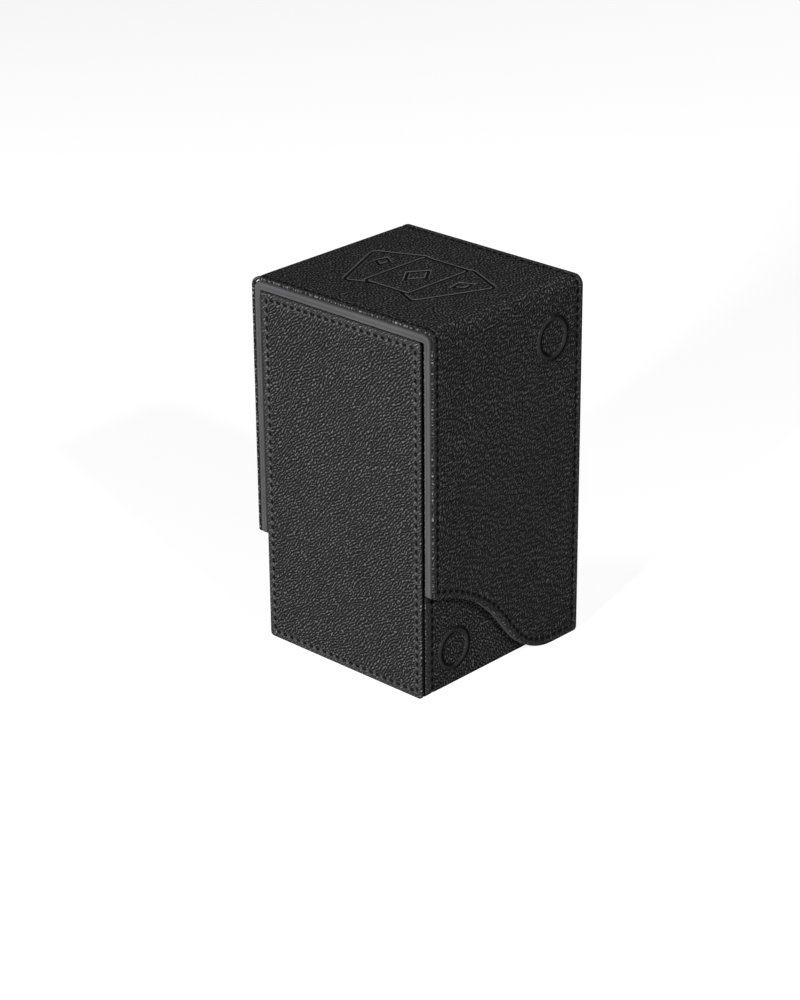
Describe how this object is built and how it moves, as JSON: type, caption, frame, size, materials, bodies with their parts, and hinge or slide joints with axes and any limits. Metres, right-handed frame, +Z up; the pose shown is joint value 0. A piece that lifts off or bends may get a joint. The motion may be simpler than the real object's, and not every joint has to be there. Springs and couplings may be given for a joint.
{
  "type": "card deck box",
  "caption": "Upright leatherette card deck box: open-topped base and a lift-off magnetic lid that caps the top and both sides, with curved lower flap edges.",
  "frame": {"origin": "middle of the underside that the box stands on", "axes": "+Z up, -Y out of the front panel, +X to the right across the front panel"},
  "size_m": [0.0824, 0.075, 0.132],
  "materials": {
    "leatherette": "black pebbled leatherette, low sheen",
    "lid_microfibre": "smooth charcoal microfibre, matt",
    "well_microfibre": "charcoal microfibre, matt",
    "greyboard": "raw grey bookbinding board",
    "magnet_nickel": "nickel-plated, satin",
    "thread": "black bonded sewing thread"
  },
  "bodies": {
    "base": {"base_front_board": "greyboard", "base_back_board": "greyboard", "base_left_board": "greyboard", "base_right_board": "greyboard", "base_bottom_board": "greyboard", "base_front_skin": "leatherette", "base_back_skin": "leatherette", "base_wrap_skin": "leatherette", "base_front_lining": "well_microfibre", "base_back_lining": "well_microfibre", "base_wrap_lining": "well_microfibre", "base_front_left_magnet": "magnet_nickel", "base_front_right_magnet": "magnet_nickel", "base_rear_left_magnet": "magnet_nickel", "base_rear_right_magnet": "magnet_nickel", "base_front_thread": "thread", "base_back_thread": "thread", "base_wrap_front_thread": "thread", "base_wrap_rear_thread": "thread"},
    "lid": {"lid_top_board": "greyboard", "lid_left_board": "greyboard", "lid_right_board": "greyboard", "lid_skin": "leatherette", "lid_lining": "lid_microfibre", "lid_left_magnet": "magnet_nickel", "lid_right_magnet": "magnet_nickel", "lid_thread": "thread"}
  },
  "joints": [
    {"name": "lid_lift", "type": "slide", "parent": "base", "child": "lid", "axis": [0, 0, 1], "range_m": [0, 0.14]}
  ]
}
